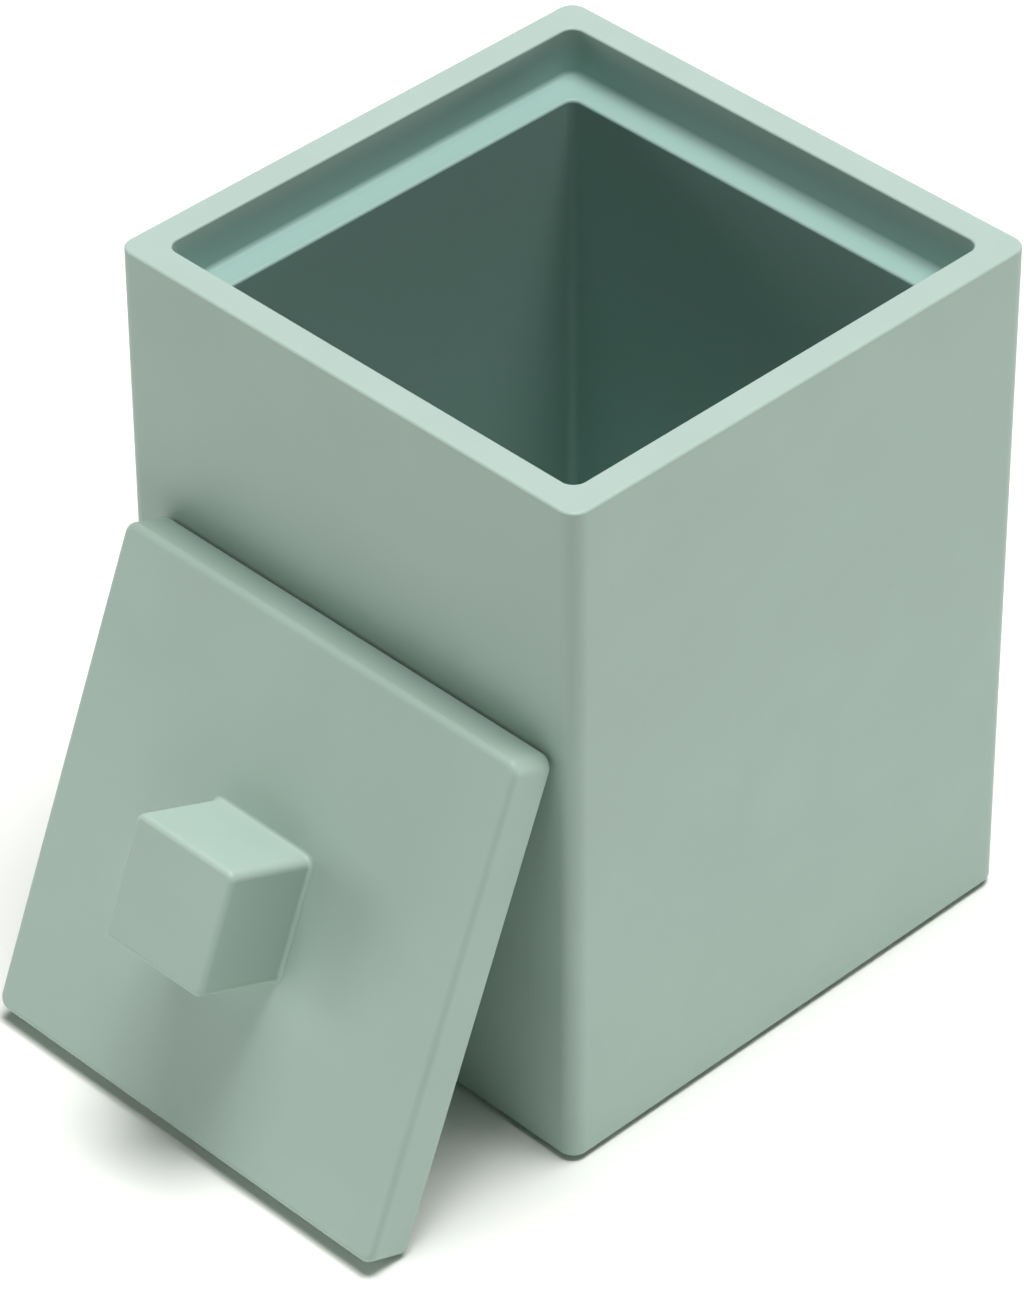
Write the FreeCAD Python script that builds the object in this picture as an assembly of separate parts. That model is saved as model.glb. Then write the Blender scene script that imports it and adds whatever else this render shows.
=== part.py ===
"""Square cast-resin jar for cotton swabs, with a drop-in lid that has a block knob.

The jar stands on the origin with +Z up. Its lid is off and leans on the jar's front face, which faces -Y,
with the knob outwards. All lengths are in millimetres and angles in degrees.
"""

import FreeCAD, Part

import math
import os

from FreeCAD import Placement, Rotation, Vector

# Jar casting
body_side = 76.0
body_height = 97.0
body_corner_radius = 2.2
rim_outer_radius = 0.35
rim_inner_radius = 0.3
base_edge_radius = 0.8
floor_thickness = 8.0

# Rebate that the lid drops into, and the ledge that carries it
rim_width = 4.1
rebate_depth = 6.8
rebate_corner_radius = 1.8
rebate_root_radius = 0.75
ledge_width = 4.2
ledge_edge_radius = 0.4

# Cavity for the swabs, drafted so that the casting leaves its core
cavity_corner_radius = 1.2
cavity_draft_angle = 0.4
cavity_floor_radius = 1.0

# Non-slip pad, let into the underside
pad_margin = 6.0
pad_thickness = 1.5
pad_recess_depth = 0.9
pad_corner_radius = 3.0
pad_side_clearance = 0.25
pad_edge_radius = 0.25

# Lid plate
lid_side_clearance = 0.5
lid_thickness = 6.4
lid_corner_radius = 1.8
lid_face_radius = 0.9
lid_back_radius = 0.6

# Knob, with a flared foot, and a square tenon that keys it to the plate
knob_side = 16.7
knob_height = 13.4
knob_corner_radius = 1.2
knob_top_radius = 0.8
knob_flare_radius = 0.5
knob_foot_land = 0.05
tenon_side = 10.0
tenon_corner_radius = 1.0
tenon_depth = 1.2
tenon_clearance = 0.1

# Brass insert in the knob and the countersunk screw that pulls the knob down
screw_diameter = 4.0
screw_length = 12.0
screw_head_diameter = 7.6
screw_head_recess = 0.3
countersink_angle = 45.0
screw_hole_clearance = 0.15
screw_head_clearance = 0.05
screw_socket_flats = 2.5
screw_socket_depth = 1.4
screw_tip_chamfer = 0.6
insert_flats = 7.0
insert_length = 9.0
insert_groove_width = 2.0
insert_groove_depth = 0.5
insert_thread_clearance = 0.05
insert_end_room = 1.2
insert_cast_clearance = 0.02

# How the lid leans: its foot on the standing plane, its top edge against the jar's front face
lean_angle = 22.1
lean_gap = 0.3
lean_offset = 1.7

# Sizes that follow from the ones above
base_level = pad_thickness - pad_recess_depth
rim_level = base_level + body_height
ledge_level = rim_level - rebate_depth
floor_level = base_level + floor_thickness
rebate_side = body_side - 2 * rim_width
cavity_side = rebate_side - 2 * ledge_width
pad_recess_side = body_side - 2 * pad_margin
pad_side = pad_recess_side - 2 * pad_side_clearance
lid_side = rebate_side - 2 * lid_side_clearance
tenon_level = lid_thickness - tenon_depth

# A cut runs this far past the face that it opens
overrun = 1.0

# Edges this close to a height are taken to lie at it
level_tolerance = 1e-4


def square_wire(side, corner_radius, level):
    """Closed square outline with round corners, centred on the Z axis at one height."""
    half = side / 2
    straight = half - corner_radius
    bulge = straight + corner_radius * math.sqrt(0.5)
    quarter = [
        Part.LineSegment(Vector(half, -straight, level), Vector(half, straight, level)).toShape(),
        Part.Arc(
            Vector(half, straight, level), Vector(bulge, bulge, level), Vector(straight, half, level)
        ).toShape(),
    ]
    edges = []
    for turn in range(4):
        for edge in quarter:
            copy = edge.copy()
            copy.rotate(Vector(0, 0, level), Vector(0, 0, 1), 90 * turn)
            edges.append(copy)
    return Part.Wire(edges)


def square_prism(side, corner_radius, low, high):
    """Upright prism on a round-cornered square, between two heights."""
    return Part.Face(square_wire(side, corner_radius, low)).extrude(Vector(0, 0, high - low))


def hexagon_prism(flats, low, high):
    """Upright hexagonal prism, with its size across the flats."""
    corner = flats / math.sqrt(3)
    points = [
        Vector(corner * math.cos(math.radians(60 * i)), corner * math.sin(math.radians(60 * i)), low)
        for i in range(6)
    ]
    outline = Part.makePolygon(points + points[:1])
    return Part.Face(outline).extrude(Vector(0, 0, high - low))


def turned(profile):
    """Solid of revolution about the Z axis, from (radius, height) points that start and end on the axis."""
    points = [Vector(radius, 0, height) for radius, height in profile]
    outline = Part.makePolygon(points + points[:1])
    return Part.Face(outline).revolve(Vector(0, 0, 0), Vector(0, 0, 1), 360)


def edges_at(shape, level, reach=None):
    """Edges that lie flat at one height, and within reach of the Z axis where that is given."""
    found = []
    for edge in shape.Edges:
        box = edge.BoundBox
        flat = max(abs(box.ZMin - level), abs(box.ZMax - level)) < level_tolerance
        near = reach is None or max(box.XMax, -box.XMin, box.YMax, -box.YMin) < reach
        if flat and near:
            found.append(edge)
    return found


def round_loop(shape, radius, level, reach=None):
    """Shape with the loops of edges at one height rounded."""
    return shape.makeFillet(radius, edges_at(shape, level, reach))


def jar_body():
    """Thick-walled square canister: outer block, less the rebate, the cavity and the pad's recess."""
    block = square_prism(body_side, body_corner_radius, base_level, rim_level)
    block = round_loop(block, base_edge_radius, base_level)
    block = round_loop(block, rim_outer_radius, rim_level)

    rebate = square_prism(rebate_side, rebate_corner_radius, ledge_level, rim_level + overrun)
    rebate = round_loop(rebate, rebate_root_radius, ledge_level)

    draft_inset = (ledge_level - floor_level) * math.tan(math.radians(cavity_draft_angle))
    cavity = Part.makeLoft(
        [
            square_wire(cavity_side - 2 * draft_inset, cavity_corner_radius, floor_level),
            square_wire(cavity_side, cavity_corner_radius, ledge_level),
        ],
        True,
        True,
    )
    cavity = round_loop(cavity, cavity_floor_radius, floor_level)
    throat = square_prism(cavity_side, cavity_corner_radius, ledge_level, ledge_level + overrun)

    recess = square_prism(
        pad_recess_side, pad_corner_radius, base_level - overrun, base_level + pad_recess_depth
    )

    body = block.cut(rebate).cut(cavity.fuse(throat)).cut(recess)
    body = round_loop(body, ledge_edge_radius, ledge_level, cavity_side / 2 + ledge_edge_radius)
    body = round_loop(body, rim_inner_radius, rim_level, rebate_side / 2 + rim_inner_radius)
    return body


def base_pad():
    """Flat foam pad, glued in the recess and standing proud of the base, with a softened foot edge."""
    pad = square_prism(pad_side, pad_corner_radius - pad_side_clearance, 0, pad_thickness)
    return round_loop(pad, pad_edge_radius, 0)


def lid_plate():
    """Square slab with the knob's tenon pocket above and the screw's countersink below."""
    plate = square_prism(lid_side, lid_corner_radius, 0, lid_thickness)
    plate = round_loop(plate, lid_face_radius, lid_thickness)
    plate = round_loop(plate, lid_back_radius, 0)

    pocket = square_prism(
        tenon_side + 2 * tenon_clearance,
        tenon_corner_radius + tenon_clearance,
        tenon_level - tenon_clearance,
        lid_thickness + overrun,
    )

    hole = turned(countersunk_profile(screw_hole_clearance, screw_head_clearance, tenon_level + overrun))
    return plate.cut(pocket).cut(hole)


def cone_height(wide_radius, narrow_radius):
    """Height over which the screw's countersink narrows from one radius to the other."""
    return (wide_radius - narrow_radius) / math.tan(math.radians(countersink_angle))


def countersunk_profile(shank_clearance, head_clearance, top):
    """Half section of the plate's countersunk hole, from below the plate up to a given height."""
    shank_radius = screw_diameter / 2 + shank_clearance
    head_radius = screw_head_diameter / 2 + head_clearance
    return [
        (0, -overrun),
        (head_radius, -overrun),
        (head_radius, screw_head_recess),
        (shank_radius, screw_head_recess + cone_height(head_radius, shank_radius)),
        (shank_radius, top),
        (0, top),
    ]


def insert_blank(clearance):
    """Hexagonal insert with a turned groove that the resin grips, standing on its open end."""
    low = tenon_level
    middle = low + insert_length / 2
    bar = hexagon_prism(insert_flats + 2 * clearance, low, low + insert_length + clearance)
    groove_half = insert_groove_width / 2 - clearance
    ring_outer = Part.makeCylinder(insert_flats, 2 * groove_half, Vector(0, 0, middle - groove_half))
    ring_inner = Part.makeCylinder(
        insert_flats / 2 - insert_groove_depth + clearance,
        2 * groove_half,
        Vector(0, 0, middle - groove_half),
    )
    return bar.cut(ring_outer.cut(ring_inner))


def knob():
    """Square block on a flared foot, with its tenon below and the insert's place inside."""
    foot_overhang = knob_flare_radius + knob_foot_land
    foot_top = lid_thickness + knob_foot_land
    block = square_prism(knob_side, knob_corner_radius, lid_thickness, lid_thickness + knob_height)
    foot = square_prism(
        knob_side + 2 * foot_overhang, knob_corner_radius + foot_overhang, lid_thickness, foot_top
    )
    body = block.fuse(foot)
    body = round_loop(body, knob_flare_radius, foot_top, knob_side / 2 + knob_foot_land)
    body = round_loop(body, knob_top_radius, lid_thickness + knob_height)

    tenon = square_prism(tenon_side, tenon_corner_radius, tenon_level, lid_thickness + overrun)
    return body.fuse(tenon).removeSplitter().cut(insert_blank(insert_cast_clearance))


def knob_insert():
    """Brass hexagon insert with a blind bore for the screw."""
    bore_length = insert_length - insert_end_room
    bore_radius = screw_diameter / 2 + insert_thread_clearance
    bore = Part.makeCylinder(bore_radius, bore_length + overrun, Vector(0, 0, tenon_level - overrun))
    return insert_blank(0).cut(bore)


def knob_screw():
    """Countersunk socket screw, head in the plate's underside and tip in the insert."""
    radius = screw_diameter / 2
    head_radius = screw_head_diameter / 2
    head_face = screw_head_recess
    tip = head_face + screw_length
    screw = turned(
        [
            (0, head_face),
            (head_radius, head_face),
            (radius, head_face + cone_height(head_radius, radius)),
            (radius, tip - screw_tip_chamfer),
            (radius - screw_tip_chamfer, tip),
            (0, tip),
        ]
    )
    socket = hexagon_prism(screw_socket_flats, head_face - overrun, head_face + screw_socket_depth)
    return screw.cut(socket)


def leaning_place():
    """Where the lid stands when it leans: back edge of its foot on the plane, top back edge near the jar.

    The lid is drawn flat, with its knob up and its underside on the XY plane. It turns about X until its
    face looks outwards and up. Its rounded back edges are what touch, so their centres set the place.
    """
    turn = Rotation(Vector(1, 0, 0), 90 - lean_angle)
    edge_offset = lid_side / 2 - lid_back_radius
    foot = turn.multVec(Vector(0, -edge_offset, lid_back_radius))
    head = turn.multVec(Vector(0, edge_offset, lid_back_radius))
    across = -(body_side / 2 + lean_gap) - lid_back_radius - head.y
    up = lid_back_radius - foot.z
    return Placement(Vector(lean_offset, across, up), turn)


def main():
    jar = {"jar_body": jar_body(), "base_pad": base_pad()}
    lid = {
        "lid_plate": lid_plate(),
        "knob": knob(),
        "knob_insert": knob_insert(),
        "knob_screw": knob_screw(),
    }
    place = leaning_place()
    for shape in lid.values():
        shape.Placement = place.multiply(shape.Placement)

    os.makedirs("parts", exist_ok=True)
    for name, shape in {**jar, **lid}.items():
        box = shape.BoundBox
        print(
            f"{name}: valid {shape.isValid()}, solids {len(shape.Solids)}, volume {shape.Volume:.1f} mm3, "
            f"y {box.YMin:.2f} to {box.YMax:.2f}, z {box.ZMin:.2f} to {box.ZMax:.2f}"
        )
        shape.exportStep(f"parts/{name}.step")


main()
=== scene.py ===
"""Finishes, foam pad, threaded screw, studio and camera for the lacquered swab jar and its leaning lid.

Everything is in metres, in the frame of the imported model: +Z up, the jar on the origin, its lid at -Y.
"""

import math

import bmesh
import bpy
from mathutils import Matrix, Quaternion, Vector


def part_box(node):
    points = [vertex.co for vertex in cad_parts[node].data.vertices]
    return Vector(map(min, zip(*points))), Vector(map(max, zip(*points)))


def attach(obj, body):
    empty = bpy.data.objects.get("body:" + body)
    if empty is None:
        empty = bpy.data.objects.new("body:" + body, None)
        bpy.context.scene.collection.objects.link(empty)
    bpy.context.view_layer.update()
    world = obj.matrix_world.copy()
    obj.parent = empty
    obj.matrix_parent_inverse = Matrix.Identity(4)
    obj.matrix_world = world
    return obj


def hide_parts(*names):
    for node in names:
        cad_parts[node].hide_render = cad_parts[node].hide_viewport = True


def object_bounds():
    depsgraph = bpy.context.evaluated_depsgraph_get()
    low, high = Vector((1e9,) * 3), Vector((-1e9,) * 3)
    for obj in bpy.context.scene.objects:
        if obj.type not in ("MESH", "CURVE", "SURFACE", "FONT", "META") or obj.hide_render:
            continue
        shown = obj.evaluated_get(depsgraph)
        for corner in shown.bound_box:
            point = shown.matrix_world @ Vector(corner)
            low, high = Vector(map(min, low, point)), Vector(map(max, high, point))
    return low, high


MILLIMETRE = 0.001
SAME_PLACE = 0.01 * MILLIMETRE
MERGE_DISTANCE = 1e-7
SHARP_ANGLE = 32

# Camera, at the photograph's viewing angle, with lens and sensor in millimetres
CAMERA_AZIMUTH = 45.59
CAMERA_ELEVATION = 38.04
CAMERA_ROLL = -0.40
CAMERA_DISTANCE = 0.77715
CAMERA_AIM = Vector((-0.002447, -0.008105, 0.040586))
CAMERA_LENS = 176.06
CAMERA_SENSOR = 36.0

# Most of a noise lies between these two values
NOISE_SPAN = (0.3, 0.7)

# Sage lacquer, the share of its colour left in the painted shade down inside the jar's mouth, and in its
# specks
SAGE = (0.368, 0.488, 0.429)
SAGE_SPREAD = 0.02
# Painted shade inside the jar's mouth: the share of colour left, and how far below the rim it fades in
MOUTH_PAINTED_SHADE = (0.73, 0.86, 0.87)
SPECK_TONE = 0.80
SPECK_SPAN = (0.55, 0.85)
SPECK_SHARE = 0.10
MOUTH_SHADE_FADE = 3 * MILLIMETRE
MOUTH_EDGE = 0.2 * MILLIMETRE
CLOUD_SIZE = 14 * MILLIMETRE
ORANGE_PEEL_SIZE = 1.3 * MILLIMETRE
ORANGE_PEEL_DEPTH = 0.012 * MILLIMETRE
SPRAY_GRAIN_SIZE = 0.22 * MILLIMETRE
SPRAY_GRAIN_DEPTH = 0.0022 * MILLIMETRE
LACQUER_ROUGHNESS = (0.485, 0.515)
LACQUER_IOR = 1.48

# Foam pad, with painted shade in the pits of its cut cells
PAD_BELLY = 0.34 * MILLIMETRE
PAD_EDGE_RINGS = 12
PAD_FACE_SHARES = (0.1, 0.5, 0.85)
PAD_FACE_ROUNDING = 0.2
CORNER_STEPS = 12
FOAM_BLACK = (0.030, 0.030, 0.032)
FOAM_WORN = (0.050, 0.050, 0.052)
FOAM_PIT_PAINTED_SHADE = (0.012, 0.012, 0.013)
FOAM_PIT_SPAN = (0.15, 0.65)
FOAM_PIT_SHARE = 0.6
FOAM_ROUGHNESS = (0.82, 0.92)
FOAM_SPECULAR = 0.3
FOAM_CELL_SIZE = 0.45 * MILLIMETRE
FOAM_CELL_DEPTH = 0.12 * MILLIMETRE
FOAM_MOTTLE_SIZE = 6 * MILLIMETRE

# Turned metal
STEEL = (0.62, 0.62, 0.61)
STEEL_SHADE = (0.50, 0.50, 0.50)
STEEL_MARK_SIZE = 0.16 * MILLIMETRE
STEEL_ROUGHNESS = 0.24
BRASS = (0.80, 0.58, 0.26)
BRASS_SHADE = (0.66, 0.44, 0.17)
BRASS_MARK_SIZE = 0.20 * MILLIMETRE
BRASS_ROUGHNESS = 0.28
MARK_DEPTH = 0.0015 * MILLIMETRE
MARK_WOBBLE = 0.6
MARK_ROUGHNESS = 0.10
WAVE_TEXTURE_SCALE = 20
STAIN_SIZE = 1.6 * MILLIMETRE
STAIN_SPAN = (0.35, 0.75)

# Countersunk screw
HEAD_ROUNDING = 0.06 * MILLIMETRE
SOCKET_CONE = 0.5 * MILLIMETRE
PLAIN_NECK = 0.8 * MILLIMETRE
THREAD_PITCH = 0.7 * MILLIMETRE
THREAD_DEPTH = 0.38 * MILLIMETRE
THREAD_CREST = 0.06
THREAD_ROOT = 0.44
THREAD_ROWS = 190
THREAD_COLUMNS = 40
THREAD_MERGE_DISTANCE = 1e-6
RING_POINTS = 96

# Studio
FLOOR_SIZE = 12.0
FLOOR_WHITE = (0.93, 0.96, 0.91)
OVERHEAD_BOX = {"distance": 1.6, "width": 0.75, "height": 0.75, "colour": (1.0, 0.97, 0.99)}
SQUARE_FILL = {"distance": 1.5, "width": 0.5, "height": 0.5}
STRIP_FILL = {"distance": 1.5, "width": 0.9, "height": 0.2}
SWEEP_START = 0.20
SWEEP_END = 0.45


def node(tree, kind, inputs=None, **settings):
    """Adds a node to a tree, with its settings, and with each input linked or given its value."""
    made = tree.nodes.new(kind)
    for name, value in settings.items():
        setattr(made, name, value)
    for name, value in (inputs or {}).items():
        if isinstance(value, bpy.types.NodeSocket):
            tree.links.new(value, made.inputs[name])
        else:
            made.inputs[name].default_value = value
    return made


def reckon(tree, operation, first, second=0.0):
    """Result of one sum on numbers in a node tree."""
    return node(tree, "ShaderNodeMath", {0: first, 1: second}, operation=operation).outputs[0]


def ramp(tree, value, start, end, low=0.0, high=1.0):
    """Value that goes smoothly from low at the start to high at the end."""
    inputs = {"Value": value, 1: start, 2: end, 3: low, 4: high}
    return node(tree, "ShaderNodeMapRange", inputs, interpolation_type="SMOOTHSTEP").outputs[0]


def tint(tree, factor, first, second):
    """Colour between two colours, each a socket or three numbers."""
    made = node(tree, "ShaderNodeMix", data_type="RGBA")
    ends = (made.inputs[6], first), (made.inputs[7], second), (made.inputs[0], factor)
    for socket, value in ends:
        if isinstance(value, bpy.types.NodeSocket):
            tree.links.new(value, socket)
        elif isinstance(value, float):
            socket.default_value = value
        else:
            socket.default_value = (*value, 1.0)
    return made.outputs[2]


def new_material(name):
    """Empty material, and its node tree."""
    material = bpy.data.materials.new(name)
    material.use_nodes = True
    material.node_tree.nodes.clear()
    return material, material.node_tree


def noise(tree, place, size, detail=2.0, roughness=0.5):
    """Noise from 0 to 1 whose lumps are about the given size."""
    inputs = {"Vector": place, "Scale": 1 / size, "Detail": detail, "Roughness": roughness}
    return node(tree, "ShaderNodeTexNoise", inputs).outputs[0]


def relief(tree, height, depth, under=None):
    """Bump of a height that goes from 0 to 1, as deep as given, over another bump."""
    inputs = {"Height": height, "Distance": depth, "Strength": 1.0}
    if under:
        inputs["Normal"] = under
    return node(tree, "ShaderNodeBump", inputs).outputs[0]


def finish(tree, colour, roughness, normal, **constants):
    """Principled shader with the given colour, roughness and bump. Constants go on its own sockets."""
    inputs = {"Base Color": colour, "Roughness": roughness, "Normal": normal}
    inputs.update({name.replace("_", " "): value for name, value in constants.items()})
    shader = node(tree, "ShaderNodeBsdfPrincipled", inputs)
    node(tree, "ShaderNodeOutputMaterial", {"Surface": shader.outputs[0]})


def sage_lacquer(name, mouth_level=None, mouth_half=None):
    """Satin lacquer sprayed on cast resin, with painted shade that darkens its colour down inside the jar's
    mouth.
    """
    material, tree = new_material(name)
    place = node(tree, "ShaderNodeTexCoord").outputs["Object"]
    light = [c * (1 + SAGE_SPREAD) for c in SAGE]
    dark = [c * (1 - SAGE_SPREAD) for c in SAGE]
    cloud = noise(tree, place, CLOUD_SIZE, detail=3.0)
    colour = tint(tree, ramp(tree, cloud, *NOISE_SPAN), dark, light)
    speck = noise(tree, place, SPRAY_GRAIN_SIZE, detail=1.0)
    speck_colour = [c * SPECK_TONE for c in SAGE]
    colour = tint(tree, ramp(tree, speck, *SPECK_SPAN, 0.0, SPECK_SHARE), colour, speck_colour)
    # Painted shade: the colour darkens inside the jar's mouth, fading in over a few millimetres below the
    # rim
    if mouth_level:
        axes = node(tree, "ShaderNodeSeparateXYZ", {0: place}).outputs
        off_x = reckon(tree, "ABSOLUTE", axes[0])
        off_y = reckon(tree, "ABSOLUTE", axes[1])
        off = reckon(tree, "MAXIMUM", off_x, off_y)
        inside = ramp(tree, off, mouth_half + MOUTH_EDGE, mouth_half)
        down = ramp(tree, axes[2], mouth_level, mouth_level - MOUTH_SHADE_FADE)
        painted_shade_colour = [c * t for c, t in zip(SAGE, MOUTH_PAINTED_SHADE)]
        colour = tint(tree, reckon(tree, "MULTIPLY", inside, down), colour, painted_shade_colour)
    peel = noise(tree, place, ORANGE_PEEL_SIZE, detail=1.0)
    normal = relief(tree, peel, ORANGE_PEEL_DEPTH)
    normal = relief(tree, speck, SPRAY_GRAIN_DEPTH, normal)
    sheen = noise(tree, place, CLOUD_SIZE / 2, detail=4.0)
    rough = ramp(tree, sheen, *NOISE_SPAN, *LACQUER_ROUGHNESS)
    finish(tree, colour, rough, normal, IOR=LACQUER_IOR)
    return material


def turned_metal(name, colour, shade, mark_size, roughness, centre):
    """Lathe-turned metal: fine rings round an axis square to the lid, and a little stain."""
    material, tree = new_material(name)
    place = node(tree, "ShaderNodeTexCoord").outputs["Object"]
    upright = lid_turn.inverted()
    shift = -(upright @ centre)
    inputs = {"Vector": place, "Location": shift, "Rotation": upright.to_euler()}
    place = node(tree, "ShaderNodeMapping", inputs, vector_type="POINT").outputs[0]
    scale = math.tau / (mark_size * WAVE_TEXTURE_SCALE)
    wave = {"Vector": place, "Scale": scale, "Distortion": MARK_WOBBLE, "Detail": 2.0}
    rings = node(tree, "ShaderNodeTexWave", wave, wave_type="RINGS", rings_direction="Z").outputs[1]
    stain = noise(tree, place, STAIN_SIZE, detail=3.0)
    tone = tint(tree, ramp(tree, stain, *STAIN_SPAN), colour, shade)
    rough = reckon(tree, "ADD", reckon(tree, "MULTIPLY", rings, MARK_ROUGHNESS), roughness)
    finish(tree, tone, rough, relief(tree, rings, MARK_DEPTH), Metallic=1.0)
    return material


def closed_cell_foam():
    """Matt black closed-cell foam with its cut cells, their pits darkened as painted shade."""
    material, tree = new_material("charcoal_foam")
    place = node(tree, "ShaderNodeTexCoord").outputs["Object"]
    cells = node(tree, "ShaderNodeTexVoronoi", {"Vector": place, "Scale": 1 / FOAM_CELL_SIZE}).outputs[0]
    pit_shade = ramp(tree, cells, *FOAM_PIT_SPAN, 1.0, 0.0)
    mottle = noise(tree, place, FOAM_MOTTLE_SIZE)
    colour = tint(tree, ramp(tree, mottle, *NOISE_SPAN), FOAM_BLACK, FOAM_WORN)
    # Painted shade: the pits of the cut cells are darkened
    colour = tint(tree, reckon(tree, "MULTIPLY", pit_shade, FOAM_PIT_SHARE), colour, FOAM_PIT_PAINTED_SHADE)
    rough = ramp(tree, mottle, *NOISE_SPAN, *FOAM_ROUGHNESS)
    finish(tree, colour, rough, relief(tree, cells, FOAM_CELL_DEPTH), Specular_IOR_Level=FOAM_SPECULAR)
    return material


def dress(name, material):
    """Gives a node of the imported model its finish."""
    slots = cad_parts[name].data.materials
    slots.clear()
    slots.append(material)


def merged_copy(name):
    """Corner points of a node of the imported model, and its faces as area, normal and centre."""
    shape = bmesh.new()
    shape.from_mesh(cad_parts[name].data)
    bmesh.ops.remove_doubles(shape, verts=shape.verts, dist=MERGE_DISTANCE)
    points = [v.co.copy() for v in shape.verts]
    faces = [(f.calc_area(), f.normal.copy(), f.calc_center_median()) for f in shape.faces]
    shape.free()
    return points, faces


def outward_of_lid():
    """Direction the lid's top looks in: the normal of its largest flat that faces away from the jar."""
    areas = {}
    for area, normal, _ in merged_copy("lid_plate")[1]:
        if normal.y < 0:
            key = tuple(round(c, 3) for c in normal)
            total, summed = areas.get(key, (0.0, Vector()))
            areas[key] = (total + area, summed + normal * area)
    return max(areas.values())[1].normalized()


def mouth_half_width():
    """How far off the middle of the jar the wall inside its rim is."""
    return max(place.x for _, normal, place in merged_copy("jar_body")[1] if normal.x < -0.99)


def skinned(name, rings):
    """Closed mesh over rings of points, each ring as long as the next, or one point at either end."""
    shape = bmesh.new()
    rows = [[shape.verts.new(point) for point in ring] for ring in rings]
    for lower, upper in zip(rows, rows[1:]):
        count = max(len(lower), len(upper))
        for here in range(count):
            there = (here + 1) % count
            corners = [lower[here % len(lower)], lower[there % len(lower)]]
            corners += [upper[there % len(upper)], upper[here % len(upper)]]
            shape.faces.new(dict.fromkeys(corners))
    mesh = bpy.data.meshes.new(name)
    shape.to_mesh(mesh)
    shape.free()
    return mesh


def placed(name, mesh, body):
    """Piece that rides on a body, with its place in its mesh, smooth except at its corners."""
    mesh.shade_smooth()
    mesh.set_sharp_from_angle(angle=math.radians(SHARP_ANGLE))
    made = bpy.data.objects.new(name, mesh)
    bpy.context.scene.collection.objects.link(made)
    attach(made, body)
    return made


def rounded_square(half, radius, height):
    """Ring of points round a square with rounded corners."""
    ring = []
    inner = half - radius
    for corner in range(4):
        pivot = Matrix.Rotation(math.radians(90 * corner), 3, "Z") @ Vector((inner, inner, height))
        for step in range(CORNER_STEPS + 1):
            angle = math.radians(90 * corner + 90 * step / CORNER_STEPS)
            ring.append(pivot + Vector((math.cos(angle), math.sin(angle), 0)) * radius)
    return ring


def pad_face(half, height):
    """Rings of one flat side of the pad, from its middle outwards."""
    sides = [half * share for share in PAD_FACE_SHARES]
    return [[Vector((0, 0, height))]] + [rounded_square(s, s * PAD_FACE_ROUNDING, height) for s in sides]


def foam_pad():
    """Die-cut pad whose cut edge bellies out a little under the jar's weight, with soft arrises."""
    low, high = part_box("base_pad")
    half = (high.x - low.x) / 2
    points = merged_copy("base_pad")[0]
    corner_radius = half - max(point.y for point in points if point.x > high.x - SAME_PLACE)
    edge = []
    for step in range(PAD_EDGE_RINGS + 1):
        angle = math.pi * step / PAD_EDGE_RINGS
        back = PAD_BELLY * (1 - math.sin(angle))
        up = (high.z - low.z) * (1 - math.cos(angle)) / 2
        edge.append(rounded_square(half - back, corner_radius - back, low.z + up))
    foot, top = pad_face(half, low.z), pad_face(half, high.z)
    mesh = skinned("foam_pad", foot + edge + top[::-1])
    mesh.materials.append(closed_cell_foam())
    pad = placed("foam_pad", mesh, "jar")
    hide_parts("base_pad")
    return pad


def thread_radius(tree, along, around, given):
    """Radius of the rod at a height and a share of a turn: crest, flank, root, or chamfer at its tip."""
    turns = reckon(tree, "SUBTRACT", reckon(tree, "DIVIDE", along, given["Pitch"]), around)
    wave = reckon(tree, "PINGPONG", turns, 0.5)
    spread = {"Value": wave, 1: THREAD_CREST, 2: THREAD_ROOT, 3: 0.0, 4: 1.0}
    ridge = node(tree, "ShaderNodeMapRange", spread).outputs[0]
    past_plain = reckon(tree, "SUBTRACT", along, given["Plain Length"])
    cut_in = ramp(tree, reckon(tree, "DIVIDE", past_plain, given["Pitch"]), 0.0, 1.0)
    groove = reckon(tree, "MULTIPLY", reckon(tree, "SUBTRACT", 1.0, ridge), given["Depth"])
    thread = reckon(tree, "SUBTRACT", given["Radius"], reckon(tree, "MULTIPLY", groove, cut_in))
    left = reckon(tree, "SUBTRACT", given["Length"], along)
    chamfer = reckon(tree, "ADD", reckon(tree, "SUBTRACT", given["Radius"], given["Chamfer"]), left)
    return reckon(tree, "MINIMUM", thread, chamfer)


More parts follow.
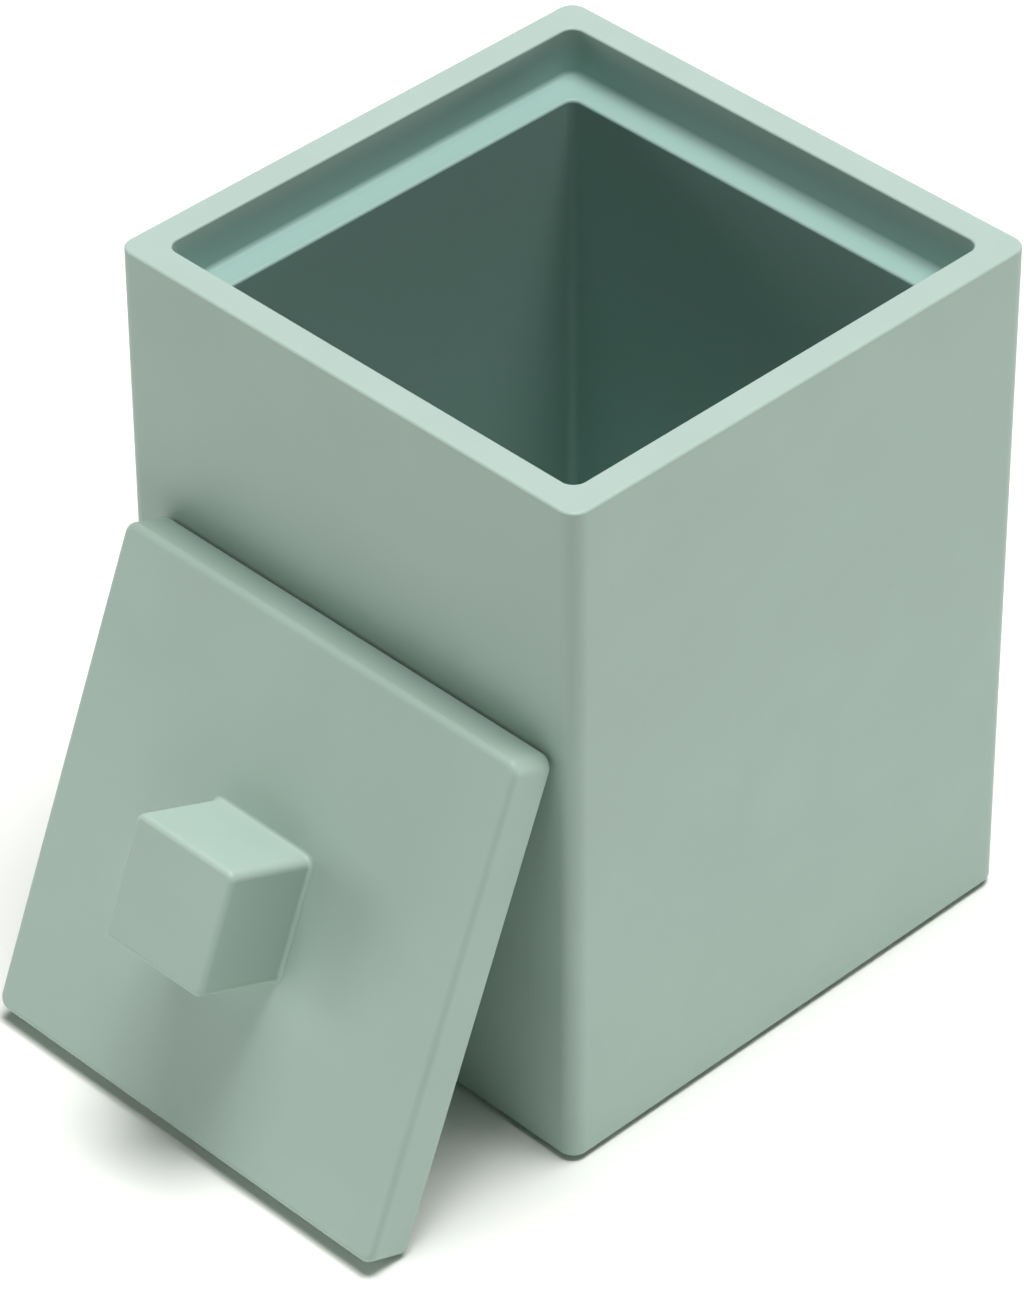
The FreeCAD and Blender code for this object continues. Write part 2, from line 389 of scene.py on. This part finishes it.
def thread_tree():
    """Threaded rod along +Z, closed at both ends, from a flat grid that is wrapped round the axis."""
    tree = bpy.data.node_groups.new("screw_thread", "GeometryNodeTree")
    for name in ("Length", "Pitch", "Radius", "Depth", "Chamfer", "Plain Length"):
        tree.interface.new_socket(name, in_out="INPUT", socket_type="NodeSocketFloat")
    tree.interface.new_socket("Finish", in_out="INPUT", socket_type="NodeSocketMaterial")
    tree.interface.new_socket("Rod", in_out="OUTPUT", socket_type="NodeSocketGeometry")
    given = node(tree, "NodeGroupInput").outputs
    counts = {"Size X": 1.0, "Size Y": 1.0, "Vertices X": THREAD_COLUMNS + 1, "Vertices Y": THREAD_ROWS}
    grid = node(tree, "GeometryNodeMeshGrid", counts).outputs["Mesh"]
    position = node(tree, "GeometryNodeInputPosition").outputs[0]
    place = node(tree, "ShaderNodeSeparateXYZ", {0: position}).outputs
    around = reckon(tree, "ADD", place[0], 0.5)

    # The first and last rows lie on the axis and close the rod
    row = reckon(tree, "MULTIPLY", reckon(tree, "ADD", place[1], 0.5), THREAD_ROWS - 1.0)
    share = reckon(tree, "DIVIDE", reckon(tree, "SUBTRACT", row, 1.0), THREAD_ROWS - 3.0)
    share = reckon(tree, "MINIMUM", reckon(tree, "MAXIMUM", share), 1.0)
    along = reckon(tree, "MULTIPLY", share, given["Length"])
    past_first = reckon(tree, "GREATER_THAN", row, 0.5)
    before_last = reckon(tree, "LESS_THAN", row, THREAD_ROWS - 1.5)
    open_row = reckon(tree, "MULTIPLY", past_first, before_last)
    radius = reckon(tree, "MULTIPLY", thread_radius(tree, along, around, given), open_row)

    angle = reckon(tree, "MULTIPLY", around, math.tau)
    across = reckon(tree, "MULTIPLY", radius, reckon(tree, "COSINE", angle))
    deep = reckon(tree, "MULTIPLY", radius, reckon(tree, "SINE", angle))
    wrapped = node(tree, "ShaderNodeCombineXYZ", {0: across, 1: deep, 2: along}).outputs[0]
    rod = node(tree, "GeometryNodeSetPosition", {"Geometry": grid, "Position": wrapped}).outputs[0]
    merging = {"Geometry": rod, "Distance": THREAD_MERGE_DISTANCE}
    rod = node(tree, "GeometryNodeMergeByDistance", merging).outputs[0]
    rod = node(tree, "GeometryNodeRealizeInstances", {"Geometry": rod}).outputs[0]
    rod = node(tree, "GeometryNodeSetMaterial", {"Geometry": rod, "Material": given["Finish"]}).outputs[0]
    node(tree, "NodeGroupOutput", {"Rod": rod})
    return tree


def grown(tree, values):
    """Plain mesh of what a geometry tree makes with the given values for its named inputs."""
    holder = bpy.data.objects.new(tree.name, bpy.data.meshes.new(tree.name))
    bpy.context.scene.collection.objects.link(holder)
    modifier = holder.modifiers.new(tree.name, "NODES")
    modifier.node_group = tree
    for item in tree.interface.items_tree:
        if item.in_out == "INPUT":
            modifier[item.identifier] = values[item.name]
    graph = bpy.context.evaluated_depsgraph_get()
    mesh = bpy.data.meshes.new_from_object(holder.evaluated_get(graph))
    holder.modifiers.remove(modifier)
    bpy.data.objects.remove(holder)
    return mesh


def round_ring(radius, height):
    """Ring of points on a circle."""
    steps = [math.tau * step / RING_POINTS for step in range(RING_POINTS)]
    return [Vector((radius * math.cos(a), radius * math.sin(a), height)) for a in steps]


def hexagon_ring(flats, height):
    """Ring of points on a hexagon, its corners among them."""
    ring = []
    for step in range(RING_POINTS):
        angle = math.tau * step / RING_POINTS
        off_flat = (angle % math.radians(60)) - math.radians(30)
        reach = flats / 2 / math.cos(off_flat)
        ring.append(Vector((reach * math.cos(angle), reach * math.sin(angle), height)))
    return ring


def off_axis(point, centre):
    """How far a point lies off the screw's axis, which runs through the centre of its head."""
    reach = point - centre
    return (reach - outward * reach.dot(outward)).length


def head_rings(flats, socket_depth, head_radius, shank_radius):
    """Rings of the screw's head: its socket from the bottom up, its face, its cone, and inside the neck."""
    soft = HEAD_ROUNDING
    neck = head_radius - shank_radius
    return [
        [Vector((0, 0, socket_depth + SOCKET_CONE))],
        round_ring(flats * 0.42, socket_depth),
        hexagon_ring(flats, socket_depth),
        hexagon_ring(flats, soft * 5),
        hexagon_ring(flats, soft * 4),
        round_ring(flats * 0.60, 0),
        round_ring(flats * 0.62, 0),
        round_ring(head_radius - soft * 4, 0),
        round_ring(head_radius - soft * 3, 0),
        round_ring(head_radius - soft * 1.4, soft * 0.4),
        round_ring(head_radius - soft, soft),
        round_ring(head_radius - soft * 2, soft * 2),
        round_ring(shank_radius + soft * 2, neck - soft * 2),
        round_ring(shank_radius + soft, neck - soft),
        round_ring(shank_radius - soft, neck + soft),
        round_ring(shank_radius - soft, neck + soft * 6),
        [Vector((0, 0, neck + soft * 6))],
    ]


def countersunk_screw():
    """Socket screw in the lid's underside: turned head with its socket, plain neck and a cut thread."""
    points = merged_copy("knob_screw")[0]
    start = min(point.dot(outward) for point in points)
    face = [point for point in points if point.dot(outward) < start + SAME_PLACE]
    centre = sum(face, Vector()) / len(face)
    profile = [(off_axis(point, centre), point.dot(outward) - start) for point in points]
    length = max(up for _, up in profile)
    head_radius = max(off for off, _ in profile)
    shank_radius = max(off for off, up in profile if up > length / 2)
    chamfer = shank_radius - max(off for off, up in profile if up > length - SAME_PLACE)
    socket_corner = min(off for off, up in profile if up < SAME_PLACE)
    socket_depth = max(up for off, up in profile if off < socket_corner + SAME_PLACE and up < length / 2)
    steel = turned_metal("turned_steel", STEEL, STEEL_SHADE, STEEL_MARK_SIZE, STEEL_ROUGHNESS, centre)

    # The cone under the head stands at 45 degrees, so it is as high as it narrows
    neck = head_radius - shank_radius
    sizes = {
        "Length": length - neck,
        "Pitch": THREAD_PITCH,
        "Radius": shank_radius,
        "Depth": THREAD_DEPTH,
        "Chamfer": chamfer,
        "Plain Length": PLAIN_NECK,
        "Finish": steel,
    }
    rod = grown(thread_tree(), sizes)
    rod.transform(Matrix.Translation((0, 0, neck)))
    flats = socket_corner * math.sqrt(3)
    shape = bmesh.new()
    shape.from_mesh(skinned("screw_head", head_rings(flats, socket_depth, head_radius, shank_radius)))
    shape.from_mesh(rod)
    mesh = bpy.data.meshes.new("countersunk_screw")
    shape.to_mesh(mesh)
    shape.free()
    mesh.transform(Matrix.Translation(centre) @ lid_turn.to_4x4())
    mesh.materials.append(steel)
    screw = placed("countersunk_screw", mesh, "lid")
    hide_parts("knob_screw")
    return screw


def aimed(azimuth, elevation):
    """Direction from the object towards a place round it: azimuth 0 is the front, 90 the +X side."""
    turn, rise = math.radians(azimuth), math.radians(elevation)
    return Vector((math.sin(turn) * math.cos(rise), -math.cos(turn) * math.cos(rise), math.sin(rise)))


def white_floor():
    """Matt white sweep that takes the object's shadow, and is plain white to the camera further out."""
    material, tree = new_material("white_sweep")
    place = node(tree, "ShaderNodeTexCoord").outputs["Object"]
    away = node(tree, "ShaderNodeVectorMath", {0: place}, operation="LENGTH").outputs["Value"]
    matt = node(tree, "ShaderNodeBsdfDiffuse", {"Color": (*FLOOR_WHITE, 1.0)})
    white = node(tree, "ShaderNodeEmission", {"Color": (1, 1, 1, 1), "Strength": 1.0})
    seen = reckon(tree, "MULTIPLY", seen_rays(tree), ramp(tree, away, SWEEP_START, SWEEP_END))
    mixed = node(tree, "ShaderNodeMixShader", {0: seen, 1: matt.outputs[0], 2: white.outputs[0]})
    node(tree, "ShaderNodeOutputMaterial", {"Surface": mixed.outputs[0]})
    half = FLOOR_SIZE / 2
    corners = [(-half, -half, 0), (half, -half, 0), (half, half, 0), (-half, half, 0)]
    mesh = bpy.data.meshes.new("floor")
    mesh.from_pydata(corners, [], [(0, 1, 2, 3)])
    mesh.materials.append(material)
    floor = bpy.data.objects.new("floor", mesh)
    bpy.context.scene.collection.objects.link(floor)
    return floor


def seen_rays(tree):
    """1 for the rays of the camera, of mirror-like reflections and through glass, and 0 for others."""
    rays = node(tree, "ShaderNodeLightPath").outputs
    seen = reckon(tree, "MAXIMUM", rays["Is Camera Ray"], rays["Is Glossy Ray"])
    return reckon(tree, "MAXIMUM", seen, rays["Is Transmission Ray"])


def white_world():
    """Plain white to the camera and to reflections. The lamps and the bright floor give the light."""
    world = bpy.data.worlds.new("studio")
    bpy.context.scene.world = world
    world.use_nodes = True
    tree = world.node_tree
    tree.nodes.clear()
    backdrop = node(tree, "ShaderNodeBackground", {"Color": (1, 1, 1, 1), "Strength": seen_rays(tree)})
    node(tree, "ShaderNodeOutputWorld", {"Surface": backdrop.outputs[0]})


def softbox(name, azimuth, elevation, power, distance, width, height, colour=(1.0, 1.0, 1.0)):
    """Flat lamp, with its power in watts, that looks at the middle of the object."""
    lamp = bpy.data.lights.new(name, "AREA")
    lamp.shape = "RECTANGLE"
    lamp.size = width
    lamp.size_y = height
    lamp.energy = power
    lamp.color = colour
    holder = bpy.data.objects.new(name, lamp)
    towards = aimed(azimuth, elevation)
    holder.location = middle + towards * distance
    holder.rotation_mode = "QUATERNION"
    holder.rotation_quaternion = (-towards).to_track_quat("-Z", "Y")
    bpy.context.scene.collection.objects.link(holder)
    return holder


def camera():
    """Long lens, with no shift and no depth of field."""
    data = bpy.data.cameras.new("camera")
    data.lens = CAMERA_LENS
    data.sensor_width = CAMERA_SENSOR
    data.clip_start = 0.01
    data.clip_end = 10.0
    holder = bpy.data.objects.new("camera", data)
    back = aimed(CAMERA_AZIMUTH, CAMERA_ELEVATION)
    holder.location = CAMERA_AIM + back * CAMERA_DISTANCE
    holder.rotation_mode = "QUATERNION"
    roll = Quaternion((0, 0, 1), math.radians(CAMERA_ROLL))
    holder.rotation_quaternion = (-back).to_track_quat("-Z", "Y") @ roll
    bpy.context.scene.collection.objects.link(holder)
    bpy.context.scene.camera = holder
    return holder


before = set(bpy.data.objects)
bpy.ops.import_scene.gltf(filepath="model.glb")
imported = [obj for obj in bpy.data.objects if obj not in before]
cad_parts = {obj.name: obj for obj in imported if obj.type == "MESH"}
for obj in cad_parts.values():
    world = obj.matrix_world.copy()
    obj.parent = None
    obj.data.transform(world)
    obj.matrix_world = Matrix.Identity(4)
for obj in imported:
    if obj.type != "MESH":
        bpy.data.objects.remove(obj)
cad_low, cad_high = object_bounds()
middle = (cad_low + cad_high) / 2
outward = outward_of_lid()
lid_turn = outward.to_track_quat("Z", "X").to_matrix()

mouth_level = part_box("jar_body")[1].z
dress("jar_body", sage_lacquer("jar_lacquer", mouth_level, mouth_half_width()))
dress("lid_plate", sage_lacquer("lid_lacquer"))
dress("knob", sage_lacquer("knob_lacquer"))
insert_centre = sum(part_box("knob_insert"), Vector()) / 2
brass = turned_metal("turned_brass", BRASS, BRASS_SHADE, BRASS_MARK_SIZE, BRASS_ROUGHNESS, insert_centre)
dress("knob_insert", brass)
foam_pad()
countersunk_screw()

white_floor()
white_world()
softbox("overhead", azimuth=0, elevation=90, power=15.8, **OVERHEAD_BOX)
softbox("overhead_back", azimuth=135, elevation=77, power=19.4, **OVERHEAD_BOX)
softbox("front_left_fill", azimuth=315, elevation=14, power=3.2, **SQUARE_FILL)
softbox("front_fill", azimuth=0, elevation=4, power=1.6, **STRIP_FILL)
softbox("right_fill", azimuth=130, elevation=4, power=4.2, **STRIP_FILL)
camera()
bpy.context.scene.view_settings.view_transform = "Standard"
